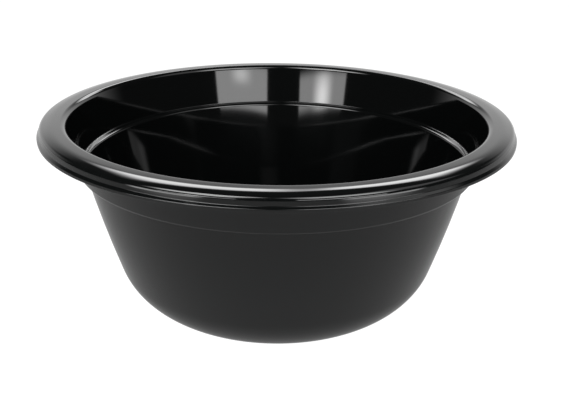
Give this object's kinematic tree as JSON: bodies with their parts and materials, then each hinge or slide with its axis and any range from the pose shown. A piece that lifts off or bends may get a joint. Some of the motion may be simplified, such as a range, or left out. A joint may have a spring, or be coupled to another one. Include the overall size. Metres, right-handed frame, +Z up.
{
  "type": "washing up bowl",
  "caption": "Round black plastic washing up bowl with a rolled rim, a stacking step under it and a flat dished base.",
  "frame": {"origin": "centre of the underside, on the surface that the bowl stands on", "axes": "+Z up, along the bowl's axis of revolution; X and Y lie on the table and are alike"},
  "size_m": [0.36, 0.3598, 0.152],
  "materials": {
    "bowl_plastic": "glossy"
  },
  "bodies": {
    "root": {"bowl": "bowl_plastic"}
  },
  "joints": []
}
